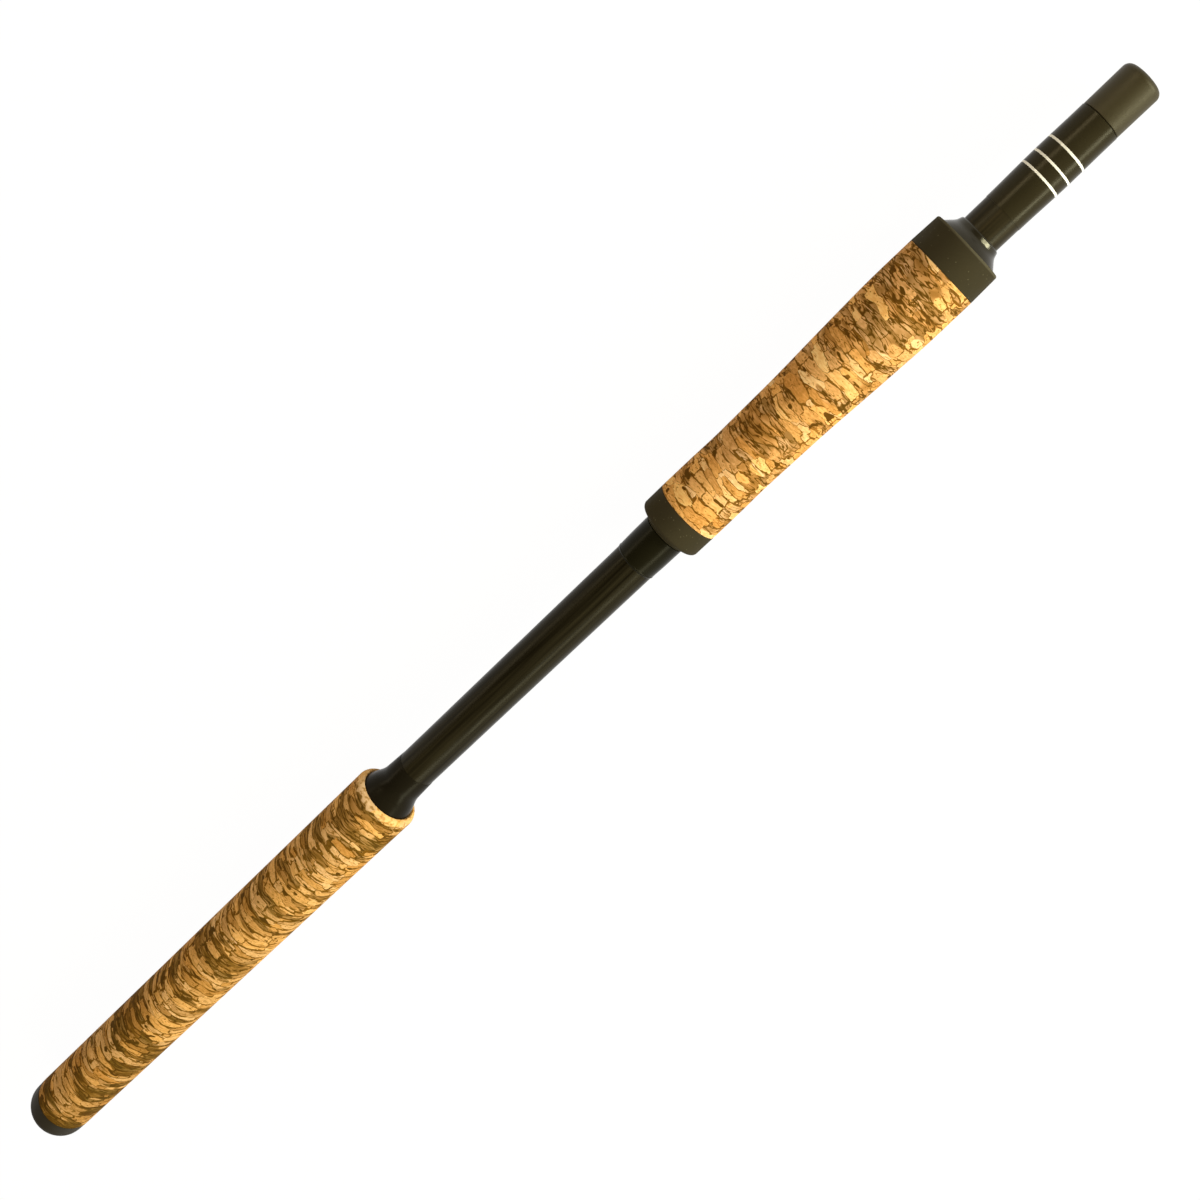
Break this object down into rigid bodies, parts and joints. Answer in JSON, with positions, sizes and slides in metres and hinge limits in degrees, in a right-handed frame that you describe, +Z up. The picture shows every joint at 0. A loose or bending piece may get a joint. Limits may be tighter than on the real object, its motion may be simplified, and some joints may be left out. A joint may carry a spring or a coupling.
{
  "type": "tenkara rod",
  "caption": "Two-handed telescopic tenkara rod with cork grips, closed for carrying: the sections slide out in turn, the plug pulls off and the butt cap unscrews.",
  "frame": {"origin": "on the surface that the rod lies on, under the middle of its closed length", "axes": "+X along the rod from butt to tip, +Z up, +Y to the left of someone looking along the rod to its tip"},
  "size_m": [0.82, 0.0376, 0.0375],
  "materials": {
    "burl_cork": "sanded burl cork, orange-tan flakes with dark brown seams",
    "trim_foam": "matte black EVA foam",
    "butt_rubber": "satin black rubber",
    "seal_rubber": "black rubber",
    "plug_rubber": "satin black",
    "gloss_lacquer": "clear gloss lacquer over black",
    "bare_carbon": "sanded carbon with thin clear coat",
    "white_paint": "cream white paint under lacquer",
    "black_anodised": "black anodised",
    "brass_fitting": "bright brass"
  },
  "bodies": {
    "butt_body": {"butt_trim_ring": "butt_rubber", "butt_thread_insert": "black_anodised", "butt_tube": "gloss_lacquer", "lower_grip": "burl_cork", "lower_winding_check": "gloss_lacquer", "butt_mouth_band": "gloss_lacquer"},
    "fore_body": {"fore_tube": "gloss_lacquer", "fore_grip_lower_trim": "trim_foam", "fore_grip": "burl_cork", "fore_grip_upper_trim": "trim_foam", "upper_winding_check": "gloss_lacquer", "mouth_wrap": "gloss_lacquer", "white_ring_1": "white_paint", "white_ring_2": "white_paint", "white_ring_3": "white_paint"},
    "third_body": {"section_3": "bare_carbon"},
    "fourth_body": {"section_4": "bare_carbon"},
    "fifth_body": {"section_5": "bare_carbon"},
    "sixth_body": {"section_6": "bare_carbon"},
    "seventh_body": {"section_7": "bare_carbon"},
    "tip_body": {"tip_section": "bare_carbon", "tip_ferrule": "brass_fitting"},
    "plug_body": {"tip_plug": "plug_rubber", "plug_o_ring_1": "seal_rubber", "plug_o_ring_2": "seal_rubber"},
    "cap_carrier": {"butt_cap_o_ring": "seal_rubber"},
    "cap_body": {"butt_cap": "black_anodised", "butt_bumper": "seal_rubber"}
  },
  "joints": [
    {"name": "zoom_slide", "type": "slide", "parent": "butt_body", "child": "fore_body", "axis": [1, 0, 0], "range_m": [0, 0.4571]},
    {"name": "section_3_slide", "type": "slide", "parent": "fore_body", "child": "third_body", "axis": [1, 0, 0], "range_m": [0, 0.713]},
    {"name": "section_4_slide", "type": "slide", "parent": "third_body", "child": "fourth_body", "axis": [1, 0, 0], "range_m": [0, 0.6818]},
    {"name": "section_5_slide", "type": "slide", "parent": "fourth_body", "child": "fifth_body", "axis": [1, 0, 0], "range_m": [0, 0.6838]},
    {"name": "section_6_slide", "type": "slide", "parent": "fifth_body", "child": "sixth_body", "axis": [1, 0, 0], "range_m": [0, 0.6858]},
    {"name": "section_7_slide", "type": "slide", "parent": "sixth_body", "child": "seventh_body", "axis": [1, 0, 0], "range_m": [0, 0.6858]},
    {"name": "tip_slide", "type": "slide", "parent": "seventh_body", "child": "tip_body", "axis": [1, 0, 0], "range_m": [0, 0.6878]},
    {"name": "plug_pull", "type": "slide", "parent": "tip_body", "child": "plug_body", "axis": [1, 0, 0], "range_m": [0, 0.05]},
    {"name": "cap_travel", "type": "slide", "parent": "butt_body", "child": "cap_carrier", "axis": [-1, 0, 0], "range_m": [0, 0.0106]},
    {"name": "cap_turn", "type": "hinge", "parent": "cap_carrier", "child": "cap_body", "pos_m": [-0.4025, 0, 0.01875], "axis": [-1, 0, 0], "range_deg": [0, 2520]}
  ],
  "couplings": [
    {"joint": "cap_travel", "follows": "cap_turn", "m_per_rad": 0.00023873}
  ]
}
